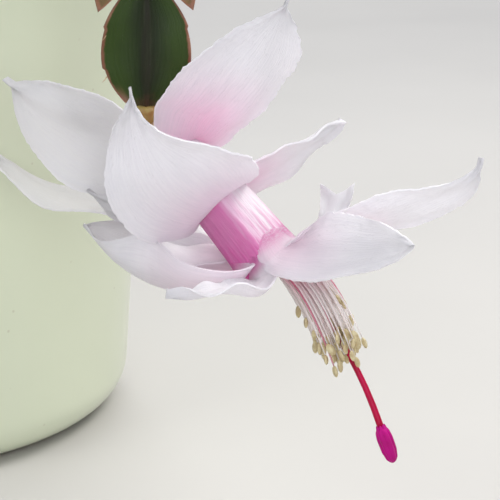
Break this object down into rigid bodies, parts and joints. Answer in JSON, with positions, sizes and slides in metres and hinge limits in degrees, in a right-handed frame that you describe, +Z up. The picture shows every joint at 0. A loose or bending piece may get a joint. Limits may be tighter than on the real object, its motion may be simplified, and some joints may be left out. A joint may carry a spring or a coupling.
{
  "type": "potted christmas cactus",
  "caption": "Christmas cactus in a plain round glazed pot: arching chains of flat toothed stem segments, open white-pink flowers and closed buds.",
  "frame": {"origin": "centre of the pot's flat underside", "axes": "+Z up along the pot's axis; +X to the right of the main flower's best view, +Y away from the viewer"},
  "size_m": [0.2427, 0.2808, 0.1828],
  "materials": {
    "pot": "pale celadon glaze, smooth and glossy",
    "soil": "dark crumbly potting soil",
    "segment": "waxy dark green stem segment with red-brown edge",
    "ovary": "waxy yellow-green",
    "petal": "thin white petal flushed pink towards the tube",
    "stamen": "white filaments with pale yellow anthers",
    "style": "crimson style with magenta stigma",
    "bud": "waxy pink bud"
  },
  "bodies": {
    "root": {"pot": "pot", "soil": "soil", "stem_01": "segment", "stem_02": "segment", "stem_03": "segment", "stem_04": "segment", "stem_05": "segment", "stem_06": "segment", "stem_07": "segment", "stem_08": "segment", "stem_09": "segment", "stem_10": "segment", "stem_11": "segment", "stem_12": "segment", "stem_13": "segment", "stem_14": "segment", "flower_1_ovary": "ovary", "flower_1_petals": "petal", "flower_1_stamens": "stamen", "flower_1_pistil": "style", "flower_2_ovary": "ovary", "flower_2_petals": "petal", "flower_2_stamens": "stamen", "flower_2_pistil": "style", "bud_1": "bud", "bud_2": "bud", "bud_3": "bud"}
  },
  "joints": []
}
